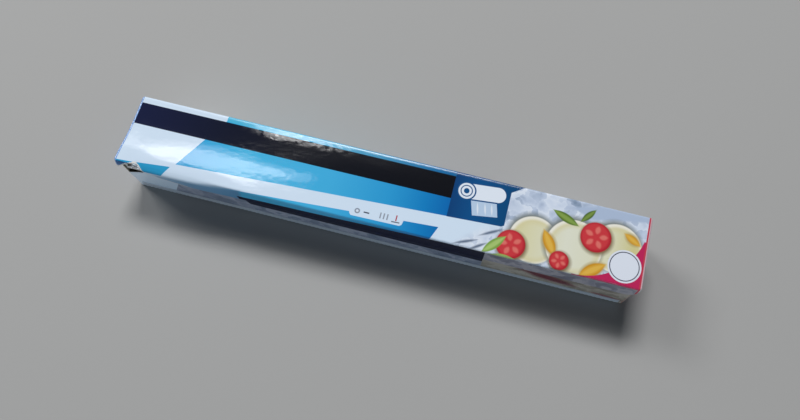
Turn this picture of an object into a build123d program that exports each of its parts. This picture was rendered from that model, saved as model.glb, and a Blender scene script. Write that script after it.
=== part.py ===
from build123d import *
from math import cos, floor, pi, radians, sin, sqrt
import os

# A kitchen foil roll in its carton. X runs along the roll, the front is at -Y and Z is up.
# The origin is under the middle of the carton. Lengths are in millimetres.

# The foil and the tube that it is wound on
foil_width = 290
foil_length = 50000
foil_thickness = 0.01
core_overhang = 2
core_radius = 14
core_wall = 1.2
core_rim = 0.2
core_slip = 0.05

# The loose end of the foil, drawn thicker than foil so that it holds as a solid
tail_thickness = 0.25
tail_lift = 1.6
tail_start_angle = 70
tail_end_angle = 148

# The turns that show at the ends of the roll, drawn coarser than they are
turn_pitch = 0.9
turn_groove = 0.3
turn_depth = 0.5
turn_margin = 0.5

# The card that the carton is folded from
card = 0.5
fold_radius = 0.6

# Room round the roll, and between the lid and the tray
side_room = 1.3
head_room = 2.5
floor_gap = 0.2
end_room = 2
lid_gap = 0.3
fold_gap = 0.1

# The flaps of the lid, which stand out a little because the carton has been opened
flap_depth = 13
flap_overlap = 2
flap_splay = 4
side_flap_depth = 12
side_flap_splay = 4
side_flap_corner = 5
flap_end_rise = 8

# The torn corner at the left front, and the edge of the tray behind it
tear_length = 24
notch_drop = 21
flap_tear_shares = (
    (0, 0.42),
    (0.2, 0.34),
    (0.4, 0.12),
    (0.54, 0.13),
    (0.57, 0.72),
    (0.68, 0.93),
    (1, 1),
)
tray_tear_shares = ((0, 1), (0.3, 0.74), (0.46, 0.66), (0.62, 0.53))
wall_end_share = 0.35

# The folded ends of the tray
dust_reach = 18
dust_chamfer = 4
end_panel_corner = 3
lock_tab_inset = 2
lock_tab_hinge_angle = 100
slit = 0.35

# The toothed strip along the bottom front edge
strip_height = 7
strip_thickness = 0.25
strip_inset = 3
strip_lift = 0.6
tooth_pitch = 2.5
tooth_height = 1.2
stake_pitch = 24
stake_length = 2.4
stake_height = 1
stake_depth = 0.12

overrun = 5

# What follows from these sizes
bore_radius = core_radius - core_wall
wound_radius = core_radius + core_slip
roll_radius = sqrt(wound_radius**2 + foil_length * foil_thickness / pi)
core_length = foil_width + 2 * core_overhang
inside_length = core_length + 2 * end_room
inside_depth = 2 * (roll_radius + side_room)
inside_height = floor_gap + 2 * roll_radius + head_room
tray_length = inside_length + 4 * card
tray_depth = inside_depth + 2 * card
height = inside_height + 2 * card
lid_length = tray_length + 2 * (lid_gap + card)
flap_spread = flap_depth * sin(radians(flap_splay))
depth = tray_depth + lid_gap + card + flap_spread
back = depth / 2
tray_front = back - tray_depth
hood_front = tray_front - lid_gap - card
roll_y = (back + tray_front) / 2
roll_z = card + floor_gap + roll_radius
fold_outer = fold_radius + card / 2
hinge_height = height - fold_outer
wall_top = hinge_height - fold_gap
wall_drop = flap_depth - flap_overlap

os.makedirs("parts", exist_ok=True)


# The tray, of one card: bottom and end panels in one fold, front and back walls with their
# dust flaps behind the end panels, and the long folds between the walls and the bottom
front_line = tray_front + card / 2
back_line = back - card / 2
end_line = tray_length / 2 - card / 2
dust_line = end_line - card

with BuildPart() as tray:
    with BuildSketch(Plane.YZ.offset(-dust_line)):
        with BuildLine():
            FilletPolyline(
                (front_line, fold_outer + card),
                (front_line, card / 2),
                (back_line, card / 2),
                (back_line, fold_outer + card),
                radius=fold_radius,
            )
        trace(line_width=card)
    extrude(amount=2 * dust_line)

    with BuildSketch(Plane.XZ.offset(-back + fold_outer)):
        with BuildLine():
            FilletPolyline(
                (-end_line, wall_top),
                (-end_line, card / 2),
                (end_line, card / 2),
                (end_line, wall_top),
                radius=fold_radius,
            )
        trace(line_width=card)
    extrude(amount=tray_depth - 2 * fold_outer)

    with BuildSketch(Plane.XY.offset(fold_outer)):
        with BuildLine():
            FilletPolyline(
                (-dust_line, front_line + dust_reach),
                (-dust_line, front_line),
                (dust_line, front_line),
                (dust_line, front_line + dust_reach),
                radius=fold_radius,
            )
        trace(line_width=card)
        with BuildLine():
            FilletPolyline(
                (-dust_line, back_line - dust_reach),
                (-dust_line, back_line),
                (dust_line, back_line),
                (dust_line, back_line - dust_reach),
                radius=fold_radius,
            )
        trace(line_width=card)
    extrude(amount=wall_top - fold_outer)

    # The front wall ends along the line where the carton was torn open
    with BuildSketch(Plane.XZ.offset(-tray_front - card)):
        with BuildLine():
            tear = [
                (-tray_length / 2 + across * tear_length, height - down * notch_drop)
                for across, down in tray_tear_shares
            ]
            level = height - wall_drop
            rise = height - wall_drop * wall_end_share
            Polyline(
                (-tray_length / 2 - overrun, height + overrun),
                (-tray_length / 2 - overrun, tear[0][1]),
                *tear,
                (tear[-1][0] + flap_overlap, level),
                (tray_length / 2 - 2 * flap_end_rise, level),
                (tray_length / 2 - flap_end_rise, rise),
                (tray_length / 2 + overrun, rise),
                (tray_length / 2 + overrun, height + overrun),
                close=True,
            )
        make_face()
    extrude(amount=card + overrun, mode=Mode.SUBTRACT)

    # Cut corners: the free ones of the dust flaps, and both of each end panel
    dust_corners = ((front_line + dust_reach, -dust_chamfer), (back_line - dust_reach, dust_chamfer))
    panel_corners = (
        (tray_front + fold_outer, end_panel_corner),
        (back - fold_outer, -end_panel_corner),
    )
    for layer, corners in ((-tray_length / 2, panel_corners), (-tray_length / 2 + card, dust_corners)):
        for layer_plane in (Plane.YZ.offset(layer), Plane.YZ.offset(-layer - card)):
            with BuildSketch(layer_plane):
                for edge_y, cut in corners:
                    with BuildLine():
                        Polyline(
                            (edge_y, wall_top),
                            (edge_y + cut, wall_top),
                            (edge_y, wall_top - abs(cut)),
                            close=True,
                        )
                    make_face()
            extrude(amount=card, mode=Mode.SUBTRACT)

    # The tab in each end that is pushed into the tube to hold the roll
    lock_tab_radius = bore_radius - lock_tab_inset
    for end_plane in (Plane.YZ.offset(-tray_length / 2), Plane.YZ.offset(tray_length / 2 - 2 * card)):
        with BuildSketch(end_plane):
            with BuildLine():
                CenterArc(
                    (roll_y, roll_z),
                    lock_tab_radius,
                    lock_tab_hinge_angle / 2 - 90,
                    360 - lock_tab_hinge_angle,
                )
            trace(line_width=slit)
        extrude(amount=2 * card, mode=Mode.SUBTRACT)
tray.part.label = "carton_tray"
export_step(tray.part, "parts/carton_tray.step")


# The lid: the fold on the back wall, top panel and front flap in one section, side flaps in another
top_line = height - card / 2
crease_line = hood_front + card / 2
side_line = lid_length / 2 - card / 2
side_spread = side_flap_depth * sin(radians(side_flap_splay))

with BuildPart() as lid:
    with BuildSketch(Plane.YZ.offset(-lid_length / 2 + fold_outer)):
        with BuildLine():
            back_fold = CenterArc((back_line - fold_radius, top_line - fold_radius), fold_radius, 0, 90)
            FilletPolyline(
                back_fold @ 1,
                (crease_line, top_line),
                (crease_line - flap_spread, top_line - flap_depth * cos(radians(flap_splay))),
                radius=fold_radius,
            )
        trace(line_width=card)
    extrude(amount=lid_length - 2 * fold_outer)

    # The lower edge of the front flap, torn at its left end and rounded at its right one
    with BuildSketch(Plane.XZ.offset(-hood_front - (fold_outer + card) / 2)):
        with BuildLine():
            torn = [
                (-lid_length / 2 + across * tear_length, height - down * flap_depth)
                for across, down in flap_tear_shares
            ]
            level = height - flap_depth
            Polyline(
                (-lid_length / 2 - overrun, level - overrun),
                (-lid_length / 2 - overrun, torn[0][1]),
                *torn,
                (lid_length / 2 - flap_end_rise, level),
            )
            TangentArc(
                (lid_length / 2 - flap_end_rise, level),
                (lid_length / 2, level + flap_end_rise),
                tangent=(1, 0),
            )
            Polyline(
                (lid_length / 2, level + flap_end_rise),
                (lid_length / 2 + overrun, level + flap_end_rise),
                (lid_length / 2 + overrun, level - overrun),
                (-lid_length / 2 - overrun, level - overrun),
            )
        make_face()
    extrude(amount=fold_outer + flap_spread + overrun, mode=Mode.SUBTRACT)

    with BuildSketch(Plane.XZ.offset(-back + fold_outer)):
        with BuildLine():
            FilletPolyline(
                (-side_line - side_spread, top_line - side_flap_depth * cos(radians(side_flap_splay))),
                (-side_line, top_line),
                (side_line, top_line),
                (side_line + side_spread, top_line - side_flap_depth * cos(radians(side_flap_splay))),
                radius=fold_radius,
            )
        trace(line_width=card)
    extrude(amount=back - hood_front - 2 * fold_outer)
    side_corners = lid.edges().filter_by(
        lambda e: abs(e.center().X) > side_line and abs(e.length - card) < card / 10
    ).group_by(Axis.Z)[0]
    fillet(side_corners, radius=side_flap_corner)
lid.part.label = "carton_lid"
export_step(lid.part, "parts/carton_lid.step")


# The toothed strip, staked to the front wall of the tray
strip_length = tray_length - 2 * strip_inset
tooth_count = floor(strip_length / tooth_pitch)
toothed_length = tooth_count * tooth_pitch
stake_count = floor((strip_length - stake_length) / stake_pitch) + 1

with BuildPart() as strip:
    with BuildSketch(Plane.XZ.offset(-tray_front)):
        with BuildLine():
            Polyline(
                (toothed_length / 2, strip_lift + tooth_height),
                (strip_length / 2, strip_lift + tooth_height),
                (strip_length / 2, strip_height),
                (-strip_length / 2, strip_height),
                (-strip_length / 2, strip_lift + tooth_height),
                (-toothed_length / 2, strip_lift + tooth_height),
            )
            for tooth in range(tooth_count):
                left = -toothed_length / 2 + tooth * tooth_pitch
                Polyline(
                    (left, strip_lift + tooth_height),
                    (left + tooth_pitch / 2, strip_lift),
                    (left + tooth_pitch, strip_lift + tooth_height),
                )
        make_face()
    extrude(amount=strip_thickness)
    with BuildSketch(Plane.XZ.offset(-tray_front + strip_thickness)):
        with Locations((0, (strip_height + strip_lift + tooth_height) / 2)):
            with GridLocations(stake_pitch, 1, stake_count, 1):
                Rectangle(stake_length, stake_height)
    extrude(amount=-stake_depth, mode=Mode.SUBTRACT)
strip.part.label = "cutter_strip"
export_step(strip.part, "parts/cutter_strip.step")


# The wound foil: all its turns as one solid, with the spiral that shows at its ends
# and its loose end lying over the top towards the front
turn_count = floor((roll_radius - wound_radius - 2 * turn_margin) / turn_pitch)


def off_the_roll(angle, lift):
    reach = roll_radius + lift
    return (roll_y + reach * cos(radians(angle)), roll_z + reach * sin(radians(angle)))


with BuildPart() as roll:
    with BuildSketch(Plane.YZ.offset(-foil_width / 2)):
        with Locations((roll_y, roll_z)):
            Circle(roll_radius)
        with BuildLine():
            ThreePointArc(
                off_the_roll(tail_start_angle, -tail_thickness / 2),
                off_the_roll((tail_start_angle + tail_end_angle) / 2, tail_lift / 4),
                off_the_roll(tail_end_angle, tail_lift),
            )
        trace(line_width=tail_thickness)
        with Locations((roll_y, roll_z)):
            Circle(wound_radius, mode=Mode.SUBTRACT)
    extrude(amount=foil_width)
    for end_plane in (Plane.YZ.offset(-foil_width / 2), Plane.YZ.offset(foil_width / 2 - turn_depth)):
        with BuildSketch(end_plane):
            with BuildLine():
                for turn in range(turn_count):
                    radius = wound_radius + turn_margin + turn * turn_pitch
                    CenterArc((roll_y, roll_z), radius, 0, 180)
                    CenterArc((roll_y + turn_pitch / 2, roll_z), radius + turn_pitch / 2, 180, 180)
            trace(line_width=turn_groove)
        extrude(amount=turn_depth, mode=Mode.SUBTRACT)
roll.part.label = "foil_roll"
export_step(roll.part, "parts/foil_roll.step")


# The paperboard tube
with BuildPart() as core:
    with BuildSketch(Plane.YZ.offset(-core_length / 2)):
        with Locations((roll_y, roll_z)):
            Circle(core_radius)
            Circle(bore_radius, mode=Mode.SUBTRACT)
    extrude(amount=core_length)
    chamfer(core.edges().filter_by(GeomType.CIRCLE), length=core_rim)
core.part.label = "core_tube"
export_step(core.part, "parts/core_tube.step")

print("carton", round(lid_length + 2 * side_spread, 2), "x", round(depth, 2), "x", round(height, 2))
print("hinge line at", round(back, 5), round(hinge_height, 5))
print("roll radius", round(roll_radius, 2), "centre", round(roll_y, 2), round(roll_z, 2))
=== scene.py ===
# %% [markdown]
# # A roll of kitchen foil in its printed carton
#
# The real thing is a long carton of thin printed card. A roll of aluminium foil lies in it
# on a paperboard tube, a strip of toothed tinplate is fixed along the bottom of its front,
# and its lid hinges on a fold along the back. This one has been opened before: the front
# flap stands out a little, and its left corner is torn.
#
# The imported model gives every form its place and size. What is added here is what a hand or
# an eye would notice next: card that waves, torn fibres, glossy print, foil and bare board.

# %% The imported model
from math import cos, exp, pi, radians, sin

import bmesh
import bpy
from mathutils import Matrix, Vector, noise


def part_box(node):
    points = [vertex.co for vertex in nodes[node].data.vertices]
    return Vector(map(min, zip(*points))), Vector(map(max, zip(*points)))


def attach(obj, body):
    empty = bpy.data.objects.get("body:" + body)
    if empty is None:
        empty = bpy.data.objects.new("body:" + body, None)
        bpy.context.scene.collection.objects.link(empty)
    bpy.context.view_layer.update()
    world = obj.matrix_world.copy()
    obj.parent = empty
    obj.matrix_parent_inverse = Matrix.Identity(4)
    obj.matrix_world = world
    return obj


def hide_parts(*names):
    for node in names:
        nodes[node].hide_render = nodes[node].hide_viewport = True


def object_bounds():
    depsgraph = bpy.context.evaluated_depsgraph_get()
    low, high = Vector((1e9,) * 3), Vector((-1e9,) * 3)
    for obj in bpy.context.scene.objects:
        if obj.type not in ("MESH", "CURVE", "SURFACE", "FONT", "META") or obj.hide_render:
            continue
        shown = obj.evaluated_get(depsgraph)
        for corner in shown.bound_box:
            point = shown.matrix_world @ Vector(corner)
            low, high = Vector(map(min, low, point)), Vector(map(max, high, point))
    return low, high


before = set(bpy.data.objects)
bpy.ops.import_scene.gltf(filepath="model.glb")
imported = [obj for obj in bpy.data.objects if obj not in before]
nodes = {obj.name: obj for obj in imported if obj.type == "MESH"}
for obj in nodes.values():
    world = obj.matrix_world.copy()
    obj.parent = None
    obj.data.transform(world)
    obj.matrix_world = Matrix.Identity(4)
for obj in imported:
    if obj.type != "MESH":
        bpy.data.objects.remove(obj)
solid_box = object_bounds()
MM = 0.001
solid_sides = [round(side / MM, 1) for side in solid_box[1] - solid_box[0]]
print("solids:", sorted(nodes), "box", solid_sides, "mm")

# %% [markdown]
# ## The camera
#
# The picture is taken from above, from the front and a little to the right of the middle,
# with a normal lens from about half a metre. Place and angles come from the corners of the
# carton: six of them were marked in the picture, and the camera was turned until the model's
# own corners fell on them. The small shift stands for a picture that was cropped off centre.

# %% Camera
camera_data = bpy.data.cameras.new("camera")
camera_data.lens = 36
camera_data.sensor_width = 36
camera_data.shift_x = -0.025
camera_data.shift_y = -0.05
camera = bpy.data.objects.new("camera", camera_data)
camera.location = (0.05126, -0.1386, 0.46725)
camera.rotation_euler = (radians(20.48), radians(-0.736), radians(14.166))
bpy.context.scene.collection.objects.link(camera)
bpy.context.scene.camera = camera
print("camera", round(camera.location.length, 3), "m from the carton's foot")

# %% [markdown]
# ## Two small helpers for materials
#
# Colours are picked from a screen as hex values, which are sRGB, and a shader wants linear
# light, so one function turns them. A second one adds a node, sets it and links it in one
# line. It is enough for every node below, and a material then reads from top to bottom.


# %% Colour and node helpers
def linear(code):
    """An sRGB hex colour as linear RGBA."""
    parts = [int(code[i : i + 2], 16) / 255 for i in (1, 3, 5)]
    light = [c / 12.92 if c <= 0.04045 else ((c + 0.055) / 1.055) ** 2.4 for c in parts]
    return (*light, 1)


def add(tree, kind, inputs=None, **settings):
    """One node with its settings. Inputs are values, or sockets to link."""
    node = tree.nodes.new(kind)
    for name, value in settings.items():
        setattr(node, name, value)
    for key, value in (inputs or {}).items():
        if isinstance(value, bpy.types.NodeSocket):
            tree.links.new(value, node.inputs[key])
        else:
            node.inputs[key].default_value = value
    return node


def new_material(name):
    """A material with its Principled shader, ready for its sockets to be set."""
    made = bpy.data.materials.new(name)
    made.use_nodes = True
    return made, made.node_tree, made.node_tree.nodes["Principled BSDF"]


WHITE_CARD = "#d4e6f8"
print("white card reads", [round(c, 3) for c in linear(WHITE_CARD)])

# %% [markdown]
# ## Floor and light
#
# A plain pale grey floor takes the shadow. Most light comes from one soft lamp high up and a
# little behind the carton, which is why the top is bright, the front is in shade and the
# shadow is short. A weaker lamp at the left gives the faint shadow at the right end. A low,
# slightly cool lamp in front lifts the front and the right end. Round the carton it only
# grazes the floor, so the shadow stays deep. The floor beside the lamp itself is bright,
# which a low view from behind shows as a far band. Two narrow lamps, one inside the other,
# add almost no light: they are there for their mirror image, a streak over the left half of
# the glossy top that is brightest in its middle and fades to its ends.
#
# The world lights things only weakly. What the camera and reflections see of it is about as
# pale as the far floor, so a horizon hardly shows, and metal has something to mirror.

# %% Floor and lamps
FLOOR_REACH = 4
SKY_LIGHT = (0.055, 0.062, 0.072, 1)
SKY_SEEN = (0.155, 0.165, 0.178, 1)
COOL_LIGHT = (0.76, 0.90, 1.0)
STREAK_PLACE = (-0.50, 0.353)

floor_bm = bmesh.new()
bmesh.ops.create_grid(floor_bm, x_segments=1, y_segments=1, size=FLOOR_REACH)
floor_mesh = bpy.data.meshes.new("floor")
floor_bm.to_mesh(floor_mesh)
floor_bm.free()
floor = bpy.data.objects.new("floor", floor_mesh)
bpy.context.scene.collection.objects.link(floor)
floor_paint, _, floor_shader = new_material("painted_board_floor")
floor_shader.inputs["Base Color"].default_value = linear("#a9a9a8")
floor_shader.inputs["Roughness"].default_value = 0.8
floor_shader.inputs["Specular IOR Level"].default_value = 0.2
floor_mesh.materials.append(floor_paint)

world = bpy.data.worlds.new("studio")
world.use_nodes = True
sky_tree = world.node_tree
sky_light = sky_tree.nodes["Background"]
sky_light.inputs["Color"].default_value = SKY_LIGHT
sky_seen = add(sky_tree, "ShaderNodeBackground", {"Color": SKY_SEEN})
ray = add(sky_tree, "ShaderNodeLightPath").outputs
seen = ray["Is Camera Ray"]
for other in ("Is Glossy Ray", "Is Transmission Ray"):
    seen = add(sky_tree, "ShaderNodeMath", {0: seen, 1: ray[other]}, operation="ADD").outputs[0]
sky = add(
    sky_tree, "ShaderNodeMixShader", {0: seen, 1: sky_light.outputs[0], 2: sky_seen.outputs[0]}
)
sky_tree.links.new(sky.outputs[0], sky_tree.nodes["World Output"].inputs["Surface"])
bpy.context.scene.world = world


def soft_lamp(name, place, turn, size, radiance):
    """A rectangular lamp. Its power follows from how bright its face looks."""
    data = bpy.data.lights.new(name, "AREA")
    data.shape = "RECTANGLE"
    data.size, data.size_y = size
    data.energy = radiance * pi * size[0] * size[1]
    lamp = bpy.data.objects.new(name, data)
    lamp.location = place
    lamp.rotation_euler = turn
    bpy.context.scene.collection.objects.link(lamp)
    return lamp


lamps = {}
for name, place, size, radiance in (
    ("soft_key", (-0.46, 1.64, 3.0), (1.2, 0.80), 26.5),
    ("side_key", (-2.2, 1.1, 2.2), (1.0, 1.0), 11.5),
    ("low_fill", (0.62, -1.5, 0.11), (1.4, 0.17), 10.5),
):
    towards_carton = Vector(place).to_track_quat("Z", "Y").to_euler()
    lamps[name] = soft_lamp(name, place, towards_carton, size, radiance)
lamps["low_fill"].data.color = COOL_LIGHT
for name, rise, size, radiance in (
    ("streak", 1.2, (0.44, 0.064), 2.3),
    ("streak_core", 1.21, (0.34, 0.032), 5.0),
):
    lamps[name] = soft_lamp(name, (*STREAK_PLACE, rise), (0, 0, radians(2)), size, radiance)
    lamps[name].data.shape = "ELLIPSE"
bpy.context.scene.view_settings.view_transform = "Standard"
print("lamps:", sorted(lamps))

# %% [markdown]
# ## Sizes of the carton
#
# The card is half a millimetre thick, and a crease in such card bends over a small radius.
# All of it is measured on the printed outside, in millimetres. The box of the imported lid
# gives the height and the back, so the new card lands on the solid that it stands for.

# %% Carton sizes
_, lid_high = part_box("carton_lid")
tray_low, tray_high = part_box("carton_tray")
height = lid_high.z / MM
back = lid_high.y / MM
tray_half = tray_high.x / MM
tray_front = tray_low.y / MM
card = 0.5
lid_gap = 0.3
crease_radius = 0.85
lid_half = tray_half + lid_gap + card
lid_front = tray_front - lid_gap - card
flap_depth = 13
side_flap_depth = 11.46
flap_splay = radians(4)
right_angle = radians(90)
print("height", round(height, 2), "back", round(back, 2), "lid", round(2 * lid_half, 1), "long")

# %% [markdown]
# ## How a carton is folded
#
# A carton is printed and cut flat, and then folded. The lid here is made the same way: its
# blank is one flat face, cut along every crease, and each panel is then turned about its
# crease. One could also place six separate panels, but then the print, the bend and the
# torn edge would each have to be matched by hand. A flat blank gives all three for free,
# because its flat place stays with every point as a UV map in metres of card.
#
# A crease isn't a sharp line. The bend is shared over a few narrow strips, each turned a
# little further, and together they follow the small radius of the real fold.

# %% Crease and fold
CREASE_STEPS = 4


def crease_width(angle):
    """How much flat card one bend takes up."""
    return CREASE_STEPS * 2 * crease_radius * sin(angle / CREASE_STEPS / 2)


def cut(bm, across, places):
    """Cuts a mesh along planes at these places, across x (0), y (1) or z (2)."""
    normal = Vector((across == 0, across == 1, across == 2))
    for place in places:
        bmesh.ops.bisect_plane(
            bm,
            geom=bm.verts[:] + bm.edges[:] + bm.faces[:],
            dist=1e-4,
            plane_co=normal * place,
            plane_no=normal,
        )


def fold(bm, flat, across, start, side, angle):
    """Turns all card past a crease down by an angle. Side is the way it lies from there."""
    strip = crease_width(angle) / CREASE_STEPS
    axis, sense = ("Y", side) if across == 0 else ("X", -side)
    for step in range(CREASE_STEPS, -1, -1):
        share = 0.5 if step in (0, CREASE_STEPS) else 1
        line = start + side * step * strip
        moving = [v for v in bm.verts if (v[flat][across] - line) * side > 1e-3]
        turn = Matrix.Rotation(sense * share * angle / CREASE_STEPS, 3, axis)
        centre = Vector((line, 0, 0)) if across == 0 else Vector((0, line, 0))
        bmesh.ops.rotate(bm, cent=centre, matrix=turn, verts=moving)


def steps(first, last, pitch):
    """Evenly spaced places from first to last, about a pitch apart."""
    count = max(1, round(abs(last - first) / pitch))
    return [first + (last - first) * i / count for i in range(count + 1)]


print("a right-angled crease takes", round(crease_width(right_angle), 2), "mm of card")

# %% [markdown]
# ## The blank of the lid
#
# Going round: front flap, side flap, the strip that bends onto the back wall, and the other
# side flap. The front flap is torn at its left end, with the torn-off piece missing, and
# rounded at its right end, where the knife of the carton maker cut it so. Rounded corners
# are made with a bevel on single points, which on a flat face draws an arc. The cuts are
# close together at the torn part and in the creases, and wide apart everywhere else.

# %% Cut the lid's blank
FLAP_CORNER_RADIUS, SIDE_CORNER_RADIUS = 7.4, 5
TORN_PART_END = -117
TORN_PITCH, PANEL_PITCH, DEPTH_PITCH, FLAP_PITCH, SIDE_PITCH = 0.8, 4.5, 2.9, 0.9, 2.4
CREASE_GUARD = 0.4
lid_bend = right_angle - flap_splay
panel_x = lid_half - crease_radius
panel_back = back - crease_radius
panel_front = lid_front + crease_radius
flap_start = panel_front - crease_width(lid_bend)
back_end = panel_back + crease_width(right_angle)
crease_drop = crease_radius * (1 - cos(lid_bend))


def down_the_flap(drop):
    """The flat place on the front flap of a point that hangs this far below the top."""
    return flap_start - (drop - crease_drop) / cos(flap_splay)


torn_drops = (
    (-panel_x, 6.4),
    (-147.6, 4.4),
    (-145.2, 1.6),
    (-142.8, -0.2),
    (-140.4, -0.9),
    (-138.6, -0.3),
    (-137.2, 1.2),
    (-135.2, 3.4),
    (-133.4, 7.2),
    (-127.0, 9.2),
    (-118.0, 11.2),
    (-109.0, flap_depth),
)
torn_edge = [(x, down_the_flap(drop)) for x, drop in torn_drops]
side_end = panel_x + crease_width(lid_bend) + side_flap_depth
outline = [
    *torn_edge,
    (panel_x, down_the_flap(flap_depth)),
    (panel_x, panel_front),
    (side_end, panel_front),
    (side_end, panel_back),
    (panel_x, panel_back),
    (panel_x, back_end),
    (-panel_x, back_end),
    (-panel_x, panel_back),
    (-side_end, panel_back),
    (-side_end, panel_front),
    (-panel_x, panel_front),
]
lid_bm = bmesh.new()
lid_bm.faces.new([lid_bm.verts.new((x, y, 0)) for x, y in outline])
lid_bm.verts.ensure_lookup_table()
flap_corner = len(torn_edge)
rounded = {flap_corner: FLAP_CORNER_RADIUS}
rounded.update({flap_corner + further: SIDE_CORNER_RADIUS for further in (2, 3, 8, 9)})
for corner, radius in [(lid_bm.verts[place], radius) for place, radius in rounded.items()]:
    bmesh.ops.bevel(
        lid_bm,
        geom=[corner],
        offset=radius,
        affect="VERTICES",
        segments=7,
        profile=0.5,
        material=-1,
    )

strip_x = crease_width(lid_bend)
cut(lid_bm, 1, [panel_front, panel_back])
cut(lid_bm, 0, [panel_x, -panel_x])
for side in (1, -1):
    cut(lid_bm, 0, [side * p for p in steps(panel_x, panel_x + strip_x, strip_x / CREASE_STEPS)])
    cut(lid_bm, 0, [side * p for p in steps(panel_x + strip_x, side_end, SIDE_PITCH)[:-1]])
cut(lid_bm, 0, steps(-panel_x, TORN_PART_END, TORN_PITCH))
cut(lid_bm, 0, steps(TORN_PART_END, panel_x, PANEL_PITCH))
cut(lid_bm, 1, steps(panel_back, back_end, crease_width(right_angle) / CREASE_STEPS)[:-1])
cut(lid_bm, 1, steps(panel_front, flap_start, strip_x / CREASE_STEPS))
cut(lid_bm, 1, steps(flap_start, down_the_flap(flap_depth), FLAP_PITCH)[:-1])
cut(lid_bm, 1, steps(panel_back, panel_front, DEPTH_PITCH))
cut(lid_bm, 1, [panel_back - CREASE_GUARD, panel_front + CREASE_GUARD])
cut(lid_bm, 0, [CREASE_GUARD - panel_x, panel_x - CREASE_GUARD])
blank_area = sum(face.calc_area() for face in lid_bm.faces) / 100
print("lid blank:", len(lid_bm.faces), "faces, area", round(blank_area, 1), "cm2")

# %% [markdown]
# ## Wave, dent and fold
#
# Card from a kitchen drawer is never flat. Before it is folded, the blank gets soft waves of
# a tenth of a millimetre, 55 mm long with shorter ones over them. They die out at the
# creases, which hold the card straight, and they bend the streaks of light on the print. At
# the torn corner the panel is dented and the edge of the tear is uneven.
#
# After folding, the front crease of the left part is made softer: there the flap has lost
# its hold and sags over the crease in a wider bend. The left end of the flap is pulled
# outwards, and the left end of the lid bulges to the side.

# %% Shape the lid
WAVE_HEIGHT = 0.1
DENT_X, DENT_WIDTH, DENT_DEPTH = -141, 5.5, 0.55
FRAY, FRAY_REACH = 0.35, 0.6
SAG_LEFT, SAG_RIGHT = (-143.5, -139.5), (-80, -108)
DROOP_START, DROOP_STEP = 5.0, 0.1
FIRST_BEND, LAST_BEND = 28, 64
FLAP_PULL, FLAP_WAVE = 0.5, 0.22
END_BULGE, BULGE_REACH = 1.9, 15

flat = lid_bm.verts.layers.float_vector.new("flat")
for v in lid_bm.verts:
    v[flat] = v.co


def ease(value, first, last):
    """Goes from 0 to 1 smoothly as the value goes from first to last."""
    share = min(1, max(0, (value - first) / (last - first)))
    return share * share * (3 - 2 * share)


def near_tear(point, reach):
    """1 on the torn edge, 0 further from it than the reach."""
    here = Vector((point.x, point.y, 0))
    nearest = reach
    for a, b in zip(torn_edge, torn_edge[1:]):
        a, b = Vector((*a, 0)), Vector((*b, 0))
        share = min(1, max(0, (here - a).dot(b - a) / (b - a).length_squared))
        nearest = min(nearest, (here - a.lerp(b, share)).length)
    return 1 - nearest / reach


for v in lid_bm.verts:
    x, y = v.co.x, v.co.y
    on_panel = min(panel_x - abs(x), panel_back - y, y - panel_front)
    wave = noise.noise(Vector((x / 55, y / 22, 3.1)))
    wave += 0.4 * noise.noise(Vector((x / 17, y / 11, 8.4)))
    v.co.z += WAVE_HEIGHT * wave * ease(on_panel, 0, 9)
    if on_panel > -2:
        dent = exp(-(((x - DENT_X) / DENT_WIDTH) ** 2)) * ease(y, panel_front + 7, panel_front)
        v.co.z -= DENT_DEPTH * dent
    if v.is_boundary:
        ragged = near_tear(v.co, FRAY_REACH) * ease(y, panel_front, panel_front - FRAY_REACH)
        v.co.y += FRAY * ragged * noise.noise(Vector((x * 1.9, y * 1.9, 0)))

fold(lid_bm, flat, 1, panel_back, 1, right_angle)
fold(lid_bm, flat, 1, panel_front, -1, lid_bend)
fold(lid_bm, flat, 0, panel_x, 1, lid_bend)
fold(lid_bm, flat, 0, -panel_x, -1, lid_bend)
crease_middle = (panel_front + flap_start) / 2


def drooped(run):
    """Where card lies that sags over the crease: a run of 0 is the crease itself."""
    y, z, at_run = crease_middle + DROOP_START, 0.0, -DROOP_START
    while at_run < run:
        step = min(DROOP_STEP, run - at_run)
        bend = FIRST_BEND * ease(at_run, -DROOP_START, 1.2) + LAST_BEND * ease(at_run, 1.2, 3.4)
        y, z = y - cos(radians(bend)) * step, z - sin(radians(bend)) * step
        at_run += step
    return y, z


for v in lid_bm.verts:
    place = v[flat]
    run = crease_middle - place.y
    sagging = ease(place.x, *SAG_LEFT) * ease(place.x, *SAG_RIGHT)
    if run > -DROOP_START and sagging > 0 and abs(place.x) < panel_x:
        y, z = drooped(run)
        v.co.y += (y - v.co.y) * sagging
        v.co.z += (z - v.co.z) * sagging
    drop = flap_start + 0.8 - place.y
    if drop > 0:
        flap_wave = noise.noise(Vector((place.x / 38, 0, 5.5)))
        v.co.y -= FLAP_PULL * ease(drop, 0, 4) * ease(place.x, -139.5, -144)
        v.co.y -= FLAP_WAVE * flap_wave * ease(drop, 0, 9) * (1 - sagging)
    from_front = (v.co.y - lid_front) / BULGE_REACH
    v.co.x -= END_BULGE * exp(-(from_front**2)) * ease(v.co.x, -141, -lid_half)
    v.co.z += height
lowest = min(v.co.z for v in lid_bm.verts)
print("folded lid: lowest point", round(lowest, 2), "mm over the floor")

# %% [markdown]
# ## From folded surface to a piece
#
# Each point's flat place becomes the UV map, measured from the back edge of the lid towards
# the front, so that one print runs over every crease. A second value marks the torn edge.
# The creases at the back and the front take up a little of its run. The Solidify modifier
# then gives the surface its thickness inwards, with bare board on the inside and a raw edge
# all round, and the result is baked so that edges can be kept crisp.

# %% Make the lid piece
TEAR_MARK = "tear"
WORN_REACH = 1.5
BACK_LAP, FRONT_LAP = 0.4, 0.9


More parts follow.
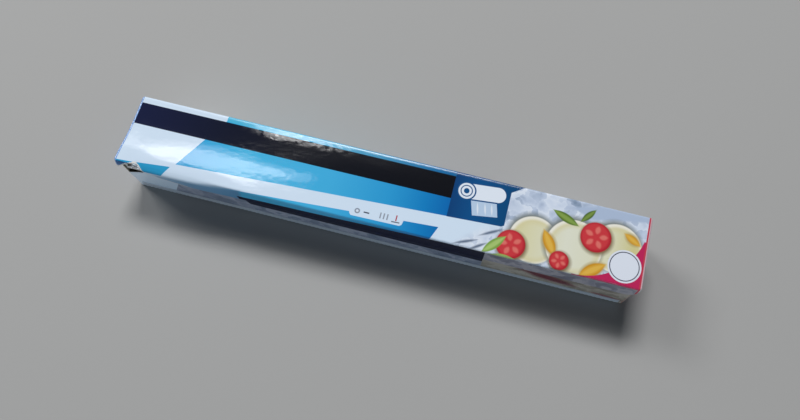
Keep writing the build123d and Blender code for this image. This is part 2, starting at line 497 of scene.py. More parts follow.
def settle(piece, angle=35):
    """Applies the modifiers and shades smooth, except over edges sharper than the angle."""
    graph = bpy.context.evaluated_depsgraph_get()
    solid = bpy.data.meshes.new_from_object(piece.evaluated_get(graph), depsgraph=graph)
    piece.modifiers.clear()
    piece.data = solid
    solid.shade_smooth()
    solid.set_sharp_from_angle(angle=radians(angle))


def as_piece(bm, name, body, materials):
    """Turns millimetres to metres and a bmesh to an object that rides on its body."""
    bmesh.ops.scale(bm, vec=(MM, MM, MM), verts=bm.verts)
    mesh = bpy.data.meshes.new(name)
    bm.to_mesh(mesh)
    bm.free()
    for finish in materials:
        mesh.materials.append(finish)
    piece = bpy.data.objects.new(name, mesh)
    bpy.context.scene.collection.objects.link(piece)
    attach(piece, body)
    return piece


printed, printed_tree, printed_shader = new_material("varnished_offset_print")
board, board_tree, board_shader = new_material("bare_grey_board")
raw_edge, raw_tree, raw_shader = new_material("cut_card_edge")

tear = lid_bm.verts.layers.float.new(TEAR_MARK)
for v in lid_bm.verts:
    v[tear] = near_tear(v[flat], WORN_REACH)
blank_uv = lid_bm.loops.layers.uv.new("blank")
for face in lid_bm.faces:
    for loop in face.loops:
        place = loop.vert[flat]
        loop[blank_uv].uv = (place.x * MM, (back_end - BACK_LAP - place.y) * MM)
lid = as_piece(lid_bm, "printed_lid", "lid", [printed, board, raw_edge])
shell = lid.modifiers.new("card", "SOLIDIFY")
shell.thickness = card * MM
shell.offset = -1
shell.use_even_offset = True
shell.material_offset = 1
shell.material_offset_rim = 2
settle(lid)
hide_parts("carton_lid")
print("lid:", len(lid.data.polygons), "faces")

# %% [markdown]
# ## The tray
#
# The tray is glued up from many small panels, and its solid is exact, so it isn't made
# again. Its mesh is copied and merged, and every face is then told what it is by where it
# looks: outside faces carry the print and get their place on the blank, faces that look up
# at the top of a wall are cut edges, and all others are bare board. Only the torn corner
# differs from the solid: the copy is cut across there, and the front of the left end is bent
# out a little, like the end of the lid over it.

# %% Give the tray's faces their finish
SKIN_DEPTH, SKIN_FACING = 0.3, 0.35
END_PRINT = 200
SPLAY, SPLAY_REACH, SPLAY_START = 1.7, 15, -143
tray_bm = bmesh.new()
tray_bm.from_mesh(nodes["carton_tray"].data)
bmesh.ops.remove_doubles(tray_bm, verts=tray_bm.verts, dist=1e-7)
bmesh.ops.scale(tray_bm, vec=(1 / MM, 1 / MM, 1 / MM), verts=tray_bm.verts)
tray_uv = tray_bm.loops.layers.uv.new("blank")
panel_run = back_end - flap_start - FRONT_LAP
for face in tray_bm.faces:
    n, c = face.normal, face.calc_center_median()
    depths = {
        "end": (tray_half - abs(c.x), abs(n.x)),
        "back": (back - c.y, n.y),
        "front": (c.y - tray_front, -n.y),
        "bottom": (c.z, -n.z),
    }
    skins = [
        name
        for name, (depth, facing) in depths.items()
        if depth < SKIN_DEPTH and facing > SKIN_FACING
    ]
    face.material_index = 0 if skins else (2 if n.z > 0.3 and c.z > 5 else 1)
    skin = max(skins, key=lambda name: depths[name][1]) if skins else "bottom"
    for loop in face.loops:
        p = loop.vert.co
        across, along = p.x, -(height - p.z)
        if skin == "front":
            along = panel_run + height - p.z
        elif skin == "bottom":
            along = -height - (back - p.y)
        elif skin == "end":
            across = (END_PRINT + height - p.z) * (1 if p.x > 0 else -1)
            along = back - p.y
        loop[tray_uv].uv = (across * MM, along * MM)
cut(tray_bm, 0, steps(-149.4, SPLAY_START, 1.3))
cut(tray_bm, 1, steps(tray_front + 2, 8, 3.2))
cut(tray_bm, 2, steps(6, 30, 3))
for v in tray_bm.verts:
    from_front = (v.co.y - tray_front) / SPLAY_REACH
    splayed = exp(-(from_front**2)) * ease(v.co.x, SPLAY_START, -149.5) * ease(v.co.z, 5, 27)
    v.co.x -= SPLAY * splayed
tray = as_piece(tray_bm, "printed_tray", "carton", [printed, board, raw_edge])
settle(tray, 30)
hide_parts("carton_tray")
print("tray:", len(tray.data.polygons), "faces")

# %% [markdown]
# ## Printing with nodes
#
# The print is flat colour fields with straight or round borders, so it is drawn as a
# printer's plates are: one mask for each field, laid over what is already there. A corner
# list gives a field with straight sides. For each side, a dot product tells how far a point
# is inside it, and the least of these is the distance to the border. Discs and pointed
# leaves come from distances to their centres. Everything is in millimetres on the blank.
#
# Some nodes have several inputs of one name, so inputs mostly go by number: 1 to 4 of Map
# Range are the range that goes in and the one that comes out, 6 and 7 of Mix are two colours.

# %% Mask helpers
EDGE_BLUR = 0.16
uv = add(printed_tree, "ShaderNodeUVMap", uv_map="blank").outputs[0]
in_mm = add(
    printed_tree, "ShaderNodeVectorMath", {0: uv, "Scale": 1 / MM}, operation="SCALE"
).outputs[0]
along_x, down_v = add(printed_tree, "ShaderNodeSeparateXYZ", {0: in_mm}).outputs[:2]
spot = add(printed_tree, "ShaderNodeCombineXYZ", {0: along_x, 1: down_v, 2: 1.0}).outputs[0]


def plate(distance, blur=EDGE_BLUR):
    """A mask that is 1 inside a border and 0 outside, from the distance inside it."""
    reach = {0: distance, 1: -blur / 2, 2: blur / 2}
    return add(printed_tree, "ShaderNodeMapRange", reach, clamp=True).outputs[0]


def least(distances):
    """The smallest of several distances, which is what lies inside all the borders."""
    found = distances[0]
    for other in distances[1:]:
        both = {0: found, 1: other}
        found = add(printed_tree, "ShaderNodeMath", both, operation="MINIMUM").outputs[0]
    return found


def field(corners, blur=EDGE_BLUR):
    """A straight-sided field. Its corners go round it, none of them turned inwards."""
    ring = list(zip(corners, corners[1:] + corners[:1]))
    sense = 1 if sum(a[0] * b[1] - b[0] * a[1] for a, b in ring) > 0 else -1
    distances = []
    for a, b in ring:
        inward = Vector((a[1] - b[1], b[0] - a[0])).normalized() * sense
        side = {0: spot, 1: (inward.x, inward.y, -inward.dot(Vector(a)))}
        inside = add(printed_tree, "ShaderNodeVectorMath", side, operation="DOT_PRODUCT")
        distances.append(inside.outputs["Value"])
    return plate(least(distances), blur)


def inside_disc(centre, radius):
    """How far a point is inside a disc."""
    ends = {0: spot, 1: (*centre, 1)}
    away = add(printed_tree, "ShaderNodeVectorMath", ends, operation="DISTANCE")
    left = {0: radius, 1: away.outputs["Value"]}
    return add(printed_tree, "ShaderNodeMath", left, operation="SUBTRACT").outputs[0]


def disc(centre, radius, blur=EDGE_BLUR):
    """A round field."""
    return plate(inside_disc(centre, radius), blur)


def leaf(foot, tip, width, blur=EDGE_BLUR):
    """A pointed field from its foot to its tip: what two large discs have in common."""
    foot, tip = Vector(foot), Vector(tip)
    half, middle = (tip - foot).length / 2, (foot + tip) / 2
    radius = (half**2 + (width / 2) ** 2) / width
    across = Vector((foot.y - tip.y, tip.x - foot.x)).normalized() * (radius - width / 2)
    return plate(least([inside_disc(middle + way, radius) for way in (across, -across)]), blur)


def lay(under, mask, ink):
    """Lays an ink over what is printed already. Each is a hex colour or a socket."""
    inks = [linear(one) if isinstance(one, str) else one for one in (under, ink)]
    mixed = {"Factor": mask, 6: inks[0], 7: inks[1]}
    return add(printed_tree, "ShaderNodeMix", mixed, data_type="RGBA").outputs[2]


def shaded_ink(tree, amount, stops):
    """An ink that changes along an amount, from stops of place and hex colour."""
    low, high = stops[0][0], stops[-1][0]
    reach = {0: amount, 1: low, 2: high}
    share = add(tree, "ShaderNodeMapRange", reach, clamp=True).outputs[0]
    ramp = add(tree, "ShaderNodeValToRGB", {0: share})
    while len(ramp.color_ramp.elements) < len(stops):
        ramp.color_ramp.elements.new(0.5)
    for element, (place, code) in zip(ramp.color_ramp.elements, stops):
        element.position = (place - low) / (high - low)
        element.color = linear(code)
    return ramp.outputs[0]


print("masks blur over", EDGE_BLUR, "mm of card")

# %% [markdown]
# ## The layout of the print
#
# White card shows at the left and in a slanted stripe. Over it lie a dark band along the
# back, a blue field that deepens to the right, a navy panel, a picture field over crumpled
# foil at the right end and a crimson corner with a white disc. The band and the blue are
# plain, and the panel has a simple white roll drawn from a few discs and fields.

# %% Base, band and blue fields
PANEL_LEFT = 38
BEHIND = -200
blue = shaded_ink(
    printed_tree,
    along_x,
    [
        (-118, "#249fd8"),
        (-80, "#42b6e4"),
        (-30, "#42b0e2"),
        (5, "#2a9bd6"),
        (25, "#0f80c4"),
        (PANEL_LEFT, "#046ab4"),
    ],
)
strip_blue = shaded_ink(
    printed_tree,
    along_x,
    [
        (-98, "#4cb8dd"),
        (-55, "#59b9e0"),
        (-15, "#4fa1c8"),
        (25, "#1f72aa"),
        (PANEL_LEFT, "#19689f"),
    ],
)
dark = shaded_ink(
    printed_tree,
    along_x,
    [(-150, "#141b3e"), (-100, "#0e142b"), (-60, "#080b18"), (PANEL_LEFT, "#05060f")],
)
blue_field = field([(-98.0, 3.3), (-117.6, 36.0), (60, 26.3), (60, 3.3)])
back_field = field([(-96.5, BEHIND), (-98.0, 3.4), (60, 3.4), (60, BEHIND)])
lower_all = field([(-200, 50.4), (36.1, 34.8), (32.8, 42.2), (28.5, 53), (-200, 53)])
lower_start = field([(-90, 20), (80, 20), (80, 70), (-90, 70)], 10)
lower_both = {0: lower_all, 1: lower_start}
lower_field = add(printed_tree, "ShaderNodeMath", lower_both, operation="MULTIPLY").outputs[0]
left_field = field([(-152, 41.3), (-120, 38.2), (-124.4, 45.0), (-152, 45.6)])
# The strip of flap left at the torn corner is the teal print darkened: painted shade where the
# bent card turns away from the light.
painted_shade_corner = field([(-155, 41.7), (-142.4, 41.7), (-141.4, 56), (-155, 56)])
band = field([(-153, 4.1), (-153, 17.5), (38.6, 16.7), (38.6, 3.3)])
ink = WHITE_CARD
for mask, colour in (
    (blue_field, blue),
    (back_field, strip_blue),
    (lower_field, blue),
    (left_field, "#2d9fd0"),
    (painted_shade_corner, "#175f9c"),
    (band, dark),
):
    ink = lay(ink, mask, colour)
print("fields so far:", len(printed_tree.nodes), "nodes")

# %% [markdown]
# ## Crumpled foil in print
#
# The picture and the lower front show crumpled foil. A Voronoi pattern with cells of about
# eight millimetres has the same flat facets. Each cell gets a grey of its own, the distance
# to the cell's middle shades it like a tilted facet, and a noise bends the straight borders.

# %% Inks that look like crumpled foil
FACETS_PER_MM = 0.13
BENDS_PER_MM = 0.09
BEND_REACH = 22.0
bends = {"Vector": in_mm, "Scale": BENDS_PER_MM, "Detail": 3.0}
bent = add(printed_tree, "ShaderNodeTexNoise", bends)
around_zero = {0: bent.outputs["Color"], 1: (0.5, 0.5, 0.5)}
bend = add(printed_tree, "ShaderNodeVectorMath", around_zero, operation="SUBTRACT").outputs[0]
bend_mm = {0: bend, "Scale": BEND_REACH}
bend = add(printed_tree, "ShaderNodeVectorMath", bend_mm, operation="SCALE").outputs[0]
moved = add(printed_tree, "ShaderNodeVectorMath", {0: in_mm, 1: bend}, operation="ADD").outputs[0]
cells = {"Vector": moved, "Scale": FACETS_PER_MM}
facets = add(printed_tree, "ShaderNodeTexVoronoi", cells, feature="F1").outputs
facet_grey = add(printed_tree, "ShaderNodeSeparateColor", {0: facets["Color"]}).outputs[0]
tilt = {0: facets["Distance"], 1: 0.8}
facet_tilt = add(printed_tree, "ShaderNodeMath", tilt, operation="MULTIPLY").outputs[0]
tones = {0: facet_grey, 1: facet_tilt}
facet_tone = add(printed_tree, "ShaderNodeMath", tones, operation="ADD").outputs[0]
foil_stops = [
    (0.1, "#8295ae"),
    (0.4, "#a5b5cd"),
    (0.7, "#bccae0"),
    (1.05, "#d0dcee"),
    (1.4, "#e0e9f6"),
]
wall_stops = [(0.2, "#727e93"), (0.7, "#8790a4"), (1.2, "#a2a8ba")]
# The beige of the wall and the grey of the flap at the right end are darker than the card's own
# colours: painted shade.
beige_stops_with_painted_shade = [(0.2, "#877e72"), (0.7, "#9c9488"), (1.2, "#b2aba0")]
flap_stops_with_painted_shade = [(0.2, "#72707f"), (0.7, "#8d8c99"), (1.2, "#a9a6ae")]
foil_ink, wall_ink, beige_ink_with_painted_shade, flap_foil_with_painted_shade = [
    shaded_ink(printed_tree, facet_tone, stops)
    for stops in (foil_stops, wall_stops, beige_stops_with_painted_shade, flap_stops_with_painted_shade)
]
print("foil inks done:", len(printed_tree.nodes), "nodes")

# %% [markdown]
# ## The picture field
#
# The right end has a plain design of its own: three pale round slices that lie over each
# other on crumpled foil, with red rounds, golden pieces and leaves in front. Each slice has
# a soft shade around it, a light rim and a body that yellows towards the ends of the row,
# so that flat discs look round and thick.

# %% Picture ground
picture = field([(78.4, -0.2), (71.0, 5.0), (71.0, 43.3), (152, 43.3), (152, -0.2)])
picture_foot = field([(71.2, 25.0), (63, 36), (63, 43.3), (71.2, 43.3)])
picture_back = field([(78.4, BEHIND), (78.4, 0), (152, 0), (152, BEHIND)])
picture_fade = field([(41, 47), (60, 29.6), (71.2, 25.6), (71.2, 47)], 5)
sweep = field([(106, 5), (118, 9.5), (151, 3.0), (151, -8)], 1.5)
for mask in (picture_back, picture, picture_fade, picture_foot):
    ink = lay(ink, mask, foil_ink)
ink = lay(ink, sweep, "#aebfd9")
print("foil ground done:", len(printed_tree.nodes), "nodes")

# %% Slices
slice_ink = shaded_ink(
    printed_tree,
    along_x,
    [(66, "#d3cc8f"), (84, "#dcd9b2"), (106, "#e2e4d2"), (130, "#dfdfc2"), (147, "#cfc67c")],
)
for (x, v), radius in (((133.5, 22.5), 14.0), ((88.0, 29.0), 13.5), ((110.5, 27.5), 15.6)):
    for mask, colour in (
        (disc((x - 0.6, v - 0.8), radius + 1.0, 3.2), "#7d8584"),
        (disc((x, v), radius, 0.6), "#f0eee2"),
        (disc((x + 0.4, v + 0.4), radius - 1.3, 1.8), "#d9d2a4"),
        (disc((x + 0.3, v + 0.6), radius - 3.0, 4.0), slice_ink),
    ):
        ink = lay(ink, mask, colour)
print("slices done:", len(printed_tree.nodes), "nodes")

# %% Golden pieces, red rounds and leaves
SEED_CHAMBERS = 5
golden = (((93, 22), (101, 35), 6.0), ((116, 42.5), (129, 33), 6.4), ((137, 13), (146, 18), 4.2))
for foot, tip, width in golden:
    ink = lay(ink, leaf(foot, tip, width + 1.6, 2.2), "#b5a368")
    ink = lay(ink, leaf(foot, tip, width, 0.7), "#cf9322")
    ink = lay(ink, leaf(foot, tip, width * 0.55, 1.6), "#e3b64c")
for (x, v), radius in (((121.5, 19.0), 8.6), ((76.5, 34.5), 8.2), ((104.0, 37.0), 5.4)):
    ink = lay(ink, disc((x + 0.5, v + 0.7), radius + 0.8, 2.4), "#8a7a5c")
    ink = lay(ink, disc((x, v), radius, 0.5), "#b3202f")
    ink = lay(ink, disc((x - 0.3, v - 0.3), radius - 0.9, 1.6), "#cd3a41")
    for turn in range(SEED_CHAMBERS):
        angle = turn * 2 * pi / SEED_CHAMBERS + radius
        way = Vector((cos(angle), sin(angle))) * radius
        foot, tip = Vector((x, v)) + way * 0.24, Vector((x, v)) + way * 0.76
        ink = lay(ink, leaf(foot, tip, radius * 0.32, 1.0), "#e0736a")
leaves = [
    ((62, 42.6), (73, 31.0), 5.2, "#7fa74b", "#a9c873"),
    ((66, 43.2), (80, 42.4), 3.4, "#93b45c", "#b4cf80"),
    ((111, 15), (96, 9), 4.8, "#5c7a2e", "#86a34e"),
    ((112, 12), (119, 3.5), 3.6, "#4c6a2c", "#7a9646"),
    ((131, 29), (146, 25), 2.6, "#6d7c33", "#93a153"),
]
for foot, tip, width, edge, middle in leaves:
    ink = lay(ink, leaf(foot, tip, width, 0.5), edge)
    ink = lay(ink, leaf(foot, tip, width * 0.5, 1.0), middle)
creases = (((46, 41.5), (58, 36.6)), ((55, 42.8), (63.5, 37.2)), ((59, 33.6), (70.5, 27.4)))
for foot, tip in creases:
    ink = lay(ink, leaf(foot, tip, 1.5, 1.0), "#66758d")
print("picture done:", len(printed_tree.nodes), "nodes")

# %% [markdown]
# ## The front
#
# The flap and the wall below it carry on from the top, in quieter colours. A navy band in
# the middle runs over both. To its left the flap is light blue, and the wall is a grey that
# looks like foil. To its right the flap has such a grey too, and the wall is beige with two
# dull red spots. These two inks on the right are also darkened: painted shade for the deeper
# shade at that end of the front.

# %% Front fields, over the flap and on the wall below it
flap_ink = shaded_ink(
    printed_tree, along_x, [(-128, "#9dbdda"), (-110, "#7fabcf"), (-80, "#5b93bd")]
)
wall_left = field([(-117.5, 56.5), (-126, 80), (-126, 90), (64, 90), (64, 56.5)])
wall_right = field([(64, 56), (64, 90), (152, 90), (152, 56)])
flap_right = field([(64, 43.4), (64, 58), (149.6, 58), (149.6, 43.4)])
flap_left = field([(-129, 46.0), (-78, 42.6), (-78, 56.4), (-126, 56.4)], 2.5)
front_band = field([(-81, 51.0), (38, 43.4), (64, 43.0), (64, 66.4), (-76, 66.4)])
for mask, colour in (
    (wall_left, wall_ink),
    (wall_right, beige_ink_with_painted_shade),
    (flap_right, flap_foil_with_painted_shade),
    (flap_left, flap_ink),
    (front_band, "#030b2e"),
    (leaf((86, 62), (120, 71), 10, 5), "#6e2c38"),
    (leaf((128, 74), (148, 77), 4, 2.5), "#8c585c"),
):
    ink = lay(ink, mask, colour)
print("front fields done:", len(printed_tree.nodes), "nodes")

# %% [markdown]
# ## The panel and the marks
#
# The drawing on the panel is the roll itself: its body, the rings of its near end and a
# sheet that hangs from it. The tab in the white stripe has a ring, two dashes, three bars
# and a red stroke. The disc in the crimson corner is bare but for a thin ring.

# %% Navy panel with a plain drawing of a roll
DRAWN_WHITE, DRAWN_LINE = "#e3ecf8", "#0b4f87"
panel = field([(38.6, BEHIND), (38.6, 27.6), (69.4, 25.9), (70.9, 25), (71, 5), (71, BEHIND)])
panel_wide = field([(70, BEHIND), (70, 5), (71.2, 5), (78.4, 0), (78.4, BEHIND)])
panel_ink = shaded_ink(
    printed_tree, along_x, [(PANEL_LEFT, "#063f77"), (52, "#07508a"), (71, "#04487b")]
)
sheet_down = field([(49.5, 14.0), (64.0, 12.6), (66.2, 21.4), (52.2, 23.6)])
roll_body = field([(45.8, 5.6), (63.6, 4.0), (64.4, 13.0), (46.6, 14.8)])
under_roll = field([(46.6, 14.7), (64.4, 12.9), (64.6, 13.7), (46.8, 15.5)])
ink = lay(ink, panel, panel_ink)
ink = lay(ink, panel_wide, "#04487b")
ink = lay(ink, sheet_down, "#b9cfe8")
for foot, tip in (
    ((53.6, 15.6), (55.2, 22.4)),
    ((57.8, 15.2), (59.4, 21.6)),
    ((61.6, 14.8), (63.0, 21.0)),
):
    ink = lay(ink, leaf(foot, tip, 0.9, 0.5), DRAWN_WHITE)
ink = lay(ink, roll_body, DRAWN_WHITE)
ink = lay(ink, disc((64.0, 8.5), 4.5), DRAWN_WHITE)
ink = lay(ink, under_roll, DRAWN_LINE)
for ring, radius in enumerate((5.5, 4.7, 3.5, 2.9, 1.6)):
    ink = lay(ink, disc((46.2, 10.2), radius), DRAWN_WHITE if ring % 2 else DRAWN_LINE)
print("panel done:", len(printed_tree.nodes), "nodes")

# %% Crimson corner, disc, tab and ends
DISC_PLACE = (139.4, 31.4)
RING_PLACE = (-10.3, 36.8)
END_LEFT, END_RIGHT, RED_EDGE = -149.5, 149.8, 0.9
corner_all = field([(112, 43.4), (112, 15), (152, 15), (152, 43.4)])
cut_out = {0: corner_all, 1: disc((112, 5), 37.4)}
corner = add(printed_tree, "ShaderNodeMath", cut_out, operation="SUBTRACT", use_clamp=True)
tab = field([(-15.4, 36), (-14.2, 39.2), (-13.2, 40.1), (14.4, 39.6), (15.6, 38.8), (16.8, 33)])
bars = [
    field([(x, 34.6), (x, 38.0), (x + 0.7, 38.0), (x + 0.7, 34.6)], 0.4) for x in (2.6, 4.6, 6.6)
]
dash = field([(-6.6, 36.3), (-6.6, 37.1), (-3.4, 37.1), (-3.4, 36.3)])
red_stroke = field([(11.6, 34.0), (11.6, 37.4), (12.3, 37.4), (12.3, 34.0)], 0.3)
low_dash = field([(9.6, 37.9), (9.6, 38.5), (14.2, 38.3), (14.2, 37.7)], 0.3)
left_end, right_line, right_end = [
    field([(edge, -200), (edge, 200), (far, 200), (far, -200)])
    for edge, far in ((END_LEFT, -400), (END_RIGHT - RED_EDGE, 400), (END_RIGHT, 400))
]
for mask, colour in (
    (corner.outputs[0], "#c0245a"),
    (disc(DISC_PLACE, 9.3), "#dfe6f2"),
    (disc(DISC_PLACE, 8.3), "#2b2f4a"),
    (disc(DISC_PLACE, 7.8), "#dfe6f2"),
    (tab, WHITE_CARD),
    (disc(RING_PLACE, 1.5, 0.5), "#7d8798"),
    (disc(RING_PLACE, 0.8, 0.5), "#dbe7f6"),
    (dash, "#4d5668"),
    *((bar, "#8b93a3") for bar in bars),
    (red_stroke, "#b0303c"),
    (low_dash, "#4d5668"),
    (left_end, "#7fa3d8"),
    (right_line, "#c23a4e"),
    (right_end, "#d3b4bd"),
):
    ink = lay(ink, mask, colour)
print("print done:", len(printed_tree.nodes), "nodes")

# %% [markdown]
# ## Varnished offset print on card
#
# Offset ink under gloss varnish: the varnish gives a clear reflection with slightly blurred
# edges, like any plastic film with an index of 1.5. The card's fibres make it a little
# uneven. They are a tenth of a millimetre wide, too fine to show here, so the unevenness is
# drawn 2.5 mm wide. Where the card is torn the print flakes off and white fibres show. The
# varnish is duller along the fold at the back and on a patch beside it, where hands rub it.

# %% Varnished print
FRESH_ROUGHNESS, RUBBED_ROUGHNESS = 0.045, 0.26
FIBRES_PER_MM, RUBS_PER_MM, GRAINS_PER_MM = 1.3, 0.35, 0.4
torn = add(printed_tree, "ShaderNodeAttribute", attribute_name=TEAR_MARK).outputs["Fac"]
fibre = add(
    printed_tree,
    "ShaderNodeTexNoise",
    {"Vector": in_mm, "Scale": FIBRES_PER_MM, "Detail": 4.0, "Roughness": 0.6},
).outputs[0]
flaked = fibre
for operation, other in (("SUBTRACT", 0.5), ("MULTIPLY", 0.9), ("ADD", torn)):
    step = {0: flaked, 1: other}
    flaked = add(printed_tree, "ShaderNodeMath", step, operation=operation).outputs[0]
flaked = add(printed_tree, "ShaderNodeMapRange", {0: flaked, 1: 0.52, 2: 0.66}, clamp=True)
ink = lay(ink, flaked.outputs[0], "#e6e4e0")
printed_tree.links.new(ink, printed_shader.inputs["Base Color"])

rubs = {"Vector": in_mm, "Scale": RUBS_PER_MM, "Detail": 3.0}
rub_noise = add(printed_tree, "ShaderNodeTexNoise", rubs).outputs[0]
rub_left, rub_right, rub_reach, patchy, fold_front_side, fold_back_side = [
    add(printed_tree, "ShaderNodeMapRange", reach, clamp=True).outputs[0]
    for reach in (
        {0: along_x, 1: -92.0, 2: -76.0},
        {0: along_x, 1: -18.0, 2: -40.0},
        {0: down_v, 1: 8.0, 2: 2.0},
        {0: rub_noise, 1: 0.36, 2: 0.6},
        {0: down_v, 1: 2.2, 2: 0.8},
        {0: down_v, 1: -2.4, 2: -0.6, 4: 0.9},
    )
]
rub = rub_left
for other in (rub_right, rub_reach, patchy):
    step = {0: rub, 1: other}
    rub = add(printed_tree, "ShaderNodeMath", step, operation="MULTIPLY").outputs[0]
both_sides = {0: fold_front_side, 1: fold_back_side}
worn = add(printed_tree, "ShaderNodeMath", both_sides, operation="MULTIPLY").outputs[0]
rub = add(printed_tree, "ShaderNodeMath", {0: rub, 1: worn}, operation="MAXIMUM").outputs[0]
gloss = add(
    printed_tree,
    "ShaderNodeMapRange",
    {0: rub, 1: 0.0, 2: 1.0, 3: FRESH_ROUGHNESS, 4: RUBBED_ROUGHNESS},
)
printed_tree.links.new(gloss.outputs[0], printed_shader.inputs["Roughness"])
printed_shader.inputs["IOR"].default_value = 1.48
grain = add(
    printed_tree,
    "ShaderNodeTexNoise",
    {"Vector": in_mm, "Scale": GRAINS_PER_MM, "Detail": 2.0, "Roughness": 0.4},
).outputs[0]
relief = {"Height": grain, "Distance": 0.03 * MM, "Strength": 0.5}
bump = add(printed_tree, "ShaderNodeBump", relief)
printed_tree.links.new(bump.outputs[0], printed_shader.inputs["Normal"])
print("varnish done:", len(printed_tree.nodes), "nodes")

# %% [markdown]
# ## Bare board and cut edges
#
# The inside of the card is unprinted recycled board: grey-brown pulp with light and dark
# fibres a few tenths of a millimetre wide. A cut or torn edge shows the lighter core.

# %% Board and edges
at = add(board_tree, "ShaderNodeTexCoord").outputs["Object"]
pulp_fibres = {"Vector": at, "Scale": 900.0, "Detail": 5.0, "Roughness": 0.7}
pulp = add(board_tree, "ShaderNodeTexNoise", pulp_fibres).outputs[0]
cloud = add(board_tree, "ShaderNodeTexNoise", {"Vector": at, "Scale": 60.0, "Detail": 3.0})
fainter = {0: cloud.outputs[0], 1: 0.3}
cloud = add(board_tree, "ShaderNodeMath", fainter, operation="MULTIPLY").outputs[0]
tone = add(board_tree, "ShaderNodeMath", {0: pulp, 1: cloud}, operation="ADD").outputs[0]
pulp_ink = shaded_ink(board_tree, tone, [(0.4, "#827c6f"), (0.65, "#a59f90"), (0.9, "#bdb7a7")])
board_tree.links.new(pulp_ink, board_shader.inputs["Base Color"])
board_shader.inputs["Roughness"].default_value = 0.85
board_shader.inputs["Specular IOR Level"].default_value = 0.3
relief = {"Height": pulp, "Distance": 0.08 * MM, "Strength": 0.6}
board_bump = add(board_tree, "ShaderNodeBump", relief)
board_tree.links.new(board_bump.outputs[0], board_shader.inputs["Normal"])

at = add(raw_tree, "ShaderNodeTexCoord").outputs["Object"]
core_fibre = add(raw_tree, "ShaderNodeTexNoise", {"Vector": at, "Scale": 1400.0, "Detail": 3.0})
raw_ink = shaded_ink(raw_tree, core_fibre.outputs[0], [(0.35, "#b9b6b0"), (0.6, "#e2e1dd")])
raw_tree.links.new(raw_ink, raw_shader.inputs["Base Color"])
raw_shader.inputs["Roughness"].default_value = 0.9
print("board and raw edge:", len(board_tree.nodes) + len(raw_tree.nodes), "nodes")

# %% [markdown]
# ## Toothed strip of tinplate
#
# The cutter is rolled tinplate, 0.25 mm thick. Rolling leaves fine lines along the strip, so
# the reflection is drawn out across them. Real lines are about a tenth of a millimetre
# apart, which is too fine to show here, so they are drawn half a millimetre apart.

# %% Tinplate
tin, tin_tree, tin_shader = new_material("rolled_tinplate")
at = add(tin_tree, "ShaderNodeTexCoord").outputs["Object"]
stretched = add(tin_tree, "ShaderNodeMapping", {0: at, "Scale": (18.0, 1800.0, 1800.0)})
rolled = {"Vector": stretched.outputs[0], "Scale": 1.0, "Detail": 3.0}
lines = add(tin_tree, "ShaderNodeTexNoise", rolled).outputs[0]
tin_ink = shaded_ink(tin_tree, lines, [(0.3, "#b4bfcc"), (0.7, "#dbe4ee")])
tin_tree.links.new(tin_ink, tin_shader.inputs["Base Color"])
tin_shader.inputs["Metallic"].default_value = 0.55
tin_shader.inputs["Roughness"].default_value = 0.5
relief = {"Height": lines, "Distance": 0.04 * MM, "Strength": 0.5}
tin_bump = add(tin_tree, "ShaderNodeBump", relief)
tin_tree.links.new(tin_bump.outputs[0], tin_shader.inputs["Normal"])
nodes["cutter_strip"].data.materials.clear()
nodes["cutter_strip"].data.materials.append(tin)
strip_low, strip_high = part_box("cutter_strip")
print("strip:", [round(side / MM, 1) for side in strip_high - strip_low])

# %% [markdown]
# ## Foil
#
# Household foil is rolled two sheets at a time, which leaves one side bright. It is pure
# metal, so its colour is in the reflection, and wrinkles show as changes of that reflection.
# They are about fifteen millimetres long and five wide, with finer ones over them.

# %% Foil
foil, foil_tree, foil_shader = new_material("rolled_aluminium_foil")
at = add(foil_tree, "ShaderNodeTexCoord").outputs["Object"]
drawn = add(foil_tree, "ShaderNodeMapping", {0: at, "Scale": (1.0, 3.0, 3.0)}).outputs[0]
wrinkles = {"Vector": drawn, "Scale": 70.0}
wrinkle = add(foil_tree, "ShaderNodeTexVoronoi", wrinkles, feature="F1").outputs["Distance"]
fine = add(foil_tree, "ShaderNodeTexNoise", {"Vector": drawn, "Scale": 160.0, "Detail": 4.0})
both = {0: wrinkle, 1: fine.outputs[0]}
wrinkled = add(foil_tree, "ShaderNodeMath", both, operation="ADD").outputs[0]
foil_shader.inputs["Base Color"].default_value = linear("#d6d9dd")
foil_shader.inputs["Metallic"].default_value = 1.0
foil_shader.inputs["Roughness"].default_value = 0.3
relief = {"Height": wrinkled, "Distance": 0.6 * MM, "Strength": 0.35}
foil_bump = add(foil_tree, "ShaderNodeBump", relief)
foil_tree.links.new(foil_bump.outputs[0], foil_shader.inputs["Normal"])
print("foil:", len(foil_tree.nodes), "nodes")

# %% [markdown]
# ## The wound roll
#
# The solid of the roll has the right radius, the spiral at its ends and the loose end over
# the top, but its side is perfectly round. Real foil is wrinkled by every hand that took it
# out. So a copy of the solid is cut into rings, and its outer skin is pressed in by up to
# half a millimetre, in long dents and short sharp ones. It never moves outwards, so the roll
# still fits its carton.

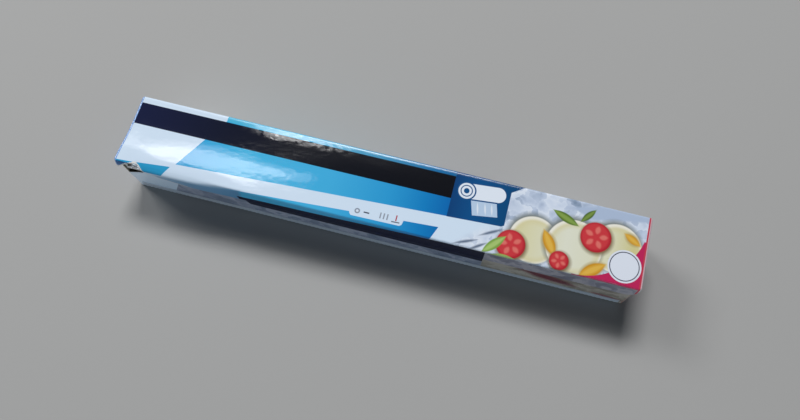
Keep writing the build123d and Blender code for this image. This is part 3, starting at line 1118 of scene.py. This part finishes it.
# %% Wrinkle the roll
SKIN_RADIUS = 17.6
RING_REACH, RING_PITCH = 142.5, 2.85
LONG_DENT, SHORT_DENT = 0.3, 0.16
tube_low, tube_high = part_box("core_tube")
axis_y, axis_z = (tube_low.y + tube_high.y) / 2 / MM, (tube_low.z + tube_high.z) / 2 / MM
roll_bm = bmesh.new()
roll_bm.from_mesh(nodes["foil_roll"].data)
bmesh.ops.remove_doubles(roll_bm, verts=roll_bm.verts, dist=1e-7)
bmesh.ops.scale(roll_bm, vec=(1 / MM, 1 / MM, 1 / MM), verts=roll_bm.verts)
cut(roll_bm, 0, steps(-RING_REACH, RING_REACH, RING_PITCH))
for v in roll_bm.verts:
    out = Vector((0, v.co.y - axis_y, v.co.z - axis_z))
    if out.length < SKIN_RADIUS:
        continue
    long_dent = abs(noise.noise(Vector((v.co.x / 24, v.co.y / 8, v.co.z / 8))))
    short_dent = abs(noise.noise(Vector((v.co.x / 7, v.co.y / 4, v.co.z / 4 + 9))))
    v.co -= out.normalized() * (LONG_DENT * long_dent + SHORT_DENT * short_dent)
roll = as_piece(roll_bm, "wrinkled_foil_roll", "carton", [foil])
settle(roll)
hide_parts("foil_roll")
print("roll:", len(roll.data.polygons), "faces")

# %% [markdown]
# ## The crumpled corner of the foil
#
# Behind the torn corner the free end of the foil has been pushed back and crumpled. Crumpled
# foil is a sheet of small flat facets that meet in sharp folds. So a grid is moved by a
# noise whose ridges are sharp, cut into triangles and left unsmoothed. The sheet follows a
# short path from the roll down to the front wall. Its crumple fades towards the end of that
# path, where it lies on top of the wall's edge. Its border is uneven, and it stays clear of
# the lid.

# %% Crumple the loose end
PATH_YZ = ((-5.5, 37.6), (-11.5, 36.4), (-16.2, 34.9), (-18.9, 32.9), (-19.85, 30.7))
LEFT_END = -147.6
OUTWARDS = Vector((0, -0.5, 0.86))
WALL_TOP, OVER_THE_ROLL = 30.7, 29
FURTHEST_FRONT, UNDER_THE_LID = -19.9, 39.6
loose_path = [Vector((0, y, z)) for y, z in PATH_YZ]
loose_bm = bmesh.new()
bmesh.ops.create_grid(loose_bm, x_segments=22, y_segments=18, size=0.5)
for v in loose_bm.verts:
    share = (v.co.y + 0.5) * (len(loose_path) - 1)
    leg = min(int(share), len(loose_path) - 2)
    place = loose_path[leg].lerp(loose_path[leg + 1], share - leg)
    reach = 21 + 9 * noise.noise(Vector((0, share * 1.3, 4.4)))
    place.x = LEFT_END + (v.co.x + 0.5) * reach
    ridges = [abs(noise.noise(place * pitch)) for pitch in (0.19, 0.5)]
    hug = ease(v.co.x, 0.5, 0.2) * ease(share, 0, 0.6)
    crumple = (1.5 - 3.4 * ridges[0] - 1.3 * ridges[1]) * ease(share, 4, 3.2)
    place += OUTWARDS * (crumple * hug - 0.5 * (1 - hug))
    place.x += 1.4 * noise.noise(place * 0.4)
    lowest = WALL_TOP if place.y < -19.1 else OVER_THE_ROLL
    place.y = max(place.y, FURTHEST_FRONT)
    place.z = min(max(place.z, lowest), UNDER_THE_LID)
    v.co = place
bmesh.ops.triangulate(loose_bm, faces=loose_bm.faces)
loose = as_piece(loose_bm, "crumpled_foil_end", "carton", [foil])
sheet = loose.modifiers.new("sheet", "SOLIDIFY")
sheet.thickness = 0.12 * MM
settle(loose, 8)
print("crumpled end:", len(loose.data.polygons), "faces")

# %% [markdown]
# ## The paper tube
#
# The tube is wound from strips of grey-brown paperboard, glued in a spiral. Its fibres show
# as specks of about a millimetre.

# %% Paper tube
tube, tube_tree, tube_shader = new_material("spiral_wound_paperboard")
at = add(tube_tree, "ShaderNodeTexCoord").outputs["Object"]
tube_fibre = add(tube_tree, "ShaderNodeTexNoise", {"Vector": at, "Scale": 700.0, "Detail": 4.0})
tube_ink = shaded_ink(tube_tree, tube_fibre.outputs[0], [(0.3, "#8f7c63"), (0.7, "#b39f84")])
tube_tree.links.new(tube_ink, tube_shader.inputs["Base Color"])
tube_shader.inputs["Roughness"].default_value = 0.85
nodes["core_tube"].data.materials.clear()
nodes["core_tube"].data.materials.append(tube)
print("tube:", len(tube_tree.nodes), "nodes")
